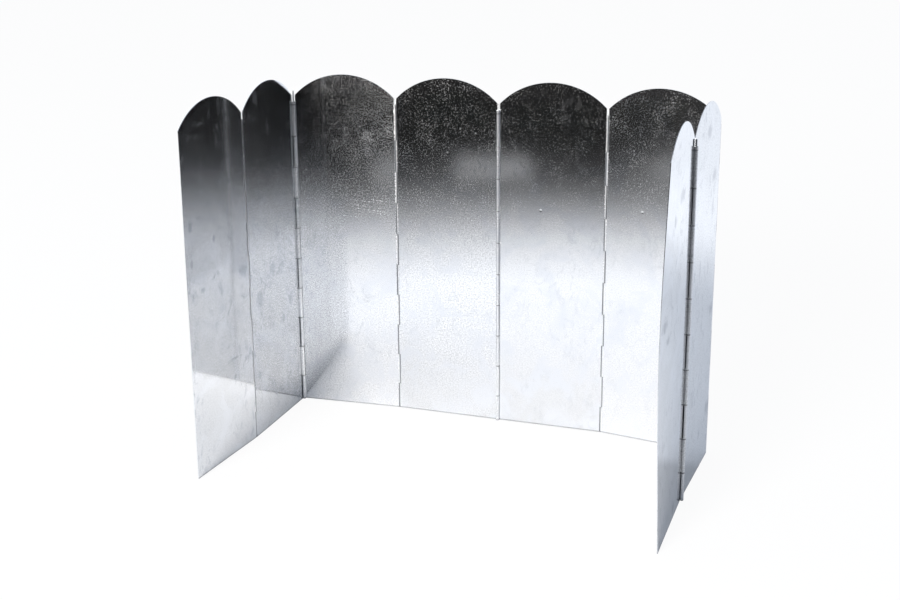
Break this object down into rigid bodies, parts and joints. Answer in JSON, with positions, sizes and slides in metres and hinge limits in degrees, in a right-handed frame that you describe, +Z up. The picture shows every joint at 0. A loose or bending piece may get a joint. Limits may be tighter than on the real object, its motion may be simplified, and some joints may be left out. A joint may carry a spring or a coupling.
{
  "type": "folding stove windscreen",
  "caption": "Free-standing folding screen of thin aluminium plates with rounded tops, hinged edge to edge, that shelters a camping stove from the wind.",
  "frame": {"origin": "centre of the opened screen's footprint, on the ground", "axes": "+Z up; +X to the right along the back of the U, seen from its mouth; +Y away from the mouth"},
  "size_m": [0.299, 0.157, 0.24],
  "materials": {
    "plate_1": "bright rolled sheet with smudges",
    "plate_2": "bright rolled sheet with smudges",
    "plate_3": "bright rolled sheet with fine scratches",
    "plate_4": "bright rolled sheet",
    "plate_5": "bright rolled sheet",
    "plate_6": "bright rolled sheet",
    "plate_7": "bright rolled sheet with smudges",
    "plate_8": "bright rolled sheet with smudges",
    "hinge_pins": "plain drawn wire"
  },
  "bodies": {
    "panel_1": {"plate_1": "plate_1"},
    "panel_2": {"plate_2": "plate_2", "hinge_pin_1": "hinge_pins"},
    "panel_3": {"plate_3": "plate_3", "hinge_pin_2": "hinge_pins"},
    "panel_4": {"plate_4": "plate_4", "hinge_pin_3": "hinge_pins", "hinge_pin_4": "hinge_pins"},
    "panel_5": {"plate_5": "plate_5", "hinge_pin_5": "hinge_pins"},
    "panel_6": {"plate_6": "plate_6", "hinge_pin_6": "hinge_pins"},
    "panel_7": {"plate_7": "plate_7", "hinge_pin_7": "hinge_pins"},
    "panel_8": {"plate_8": "plate_8"}
  },
  "joints": [
    {"name": "hinge_1", "type": "hinge", "parent": "panel_2", "child": "panel_1", "pos_m": [-0.14607, -0.00804, 0.11], "axis": [0, 0, -1], "range_deg": [-67, 175]},
    {"name": "hinge_2", "type": "hinge", "parent": "panel_3", "child": "panel_2", "pos_m": [-0.14487, 0.0655, 0.11], "axis": [0, 0, 1], "range_deg": [-149, 93]},
    {"name": "hinge_3", "type": "hinge", "parent": "panel_4", "child": "panel_3", "pos_m": [-0.07178, 0.07374, 0.11], "axis": [0, 0, -1], "range_deg": [-60, 181]},
    {"name": "hinge_4", "type": "hinge", "parent": "panel_4", "child": "panel_5", "pos_m": [0.00178, 0.07318, 0.11], "axis": [0, 0, -1], "range_deg": [-63, 86]},
    {"name": "hinge_5", "type": "hinge", "parent": "panel_5", "child": "panel_6", "pos_m": [0.07523, 0.07693, 0.11], "axis": [0, 0, 1], "range_deg": [-55, 185]},
    {"name": "hinge_6", "type": "hinge", "parent": "panel_6", "child": "panel_7", "pos_m": [0.14789, 0.0655, 0.11], "axis": [0, 0, -1], "range_deg": [-149, 90]},
    {"name": "hinge_7", "type": "hinge", "parent": "panel_7", "child": "panel_8", "pos_m": [0.14587, -0.00802, 0.11], "axis": [0, 0, 1], "range_deg": [-66, 175]}
  ]
}
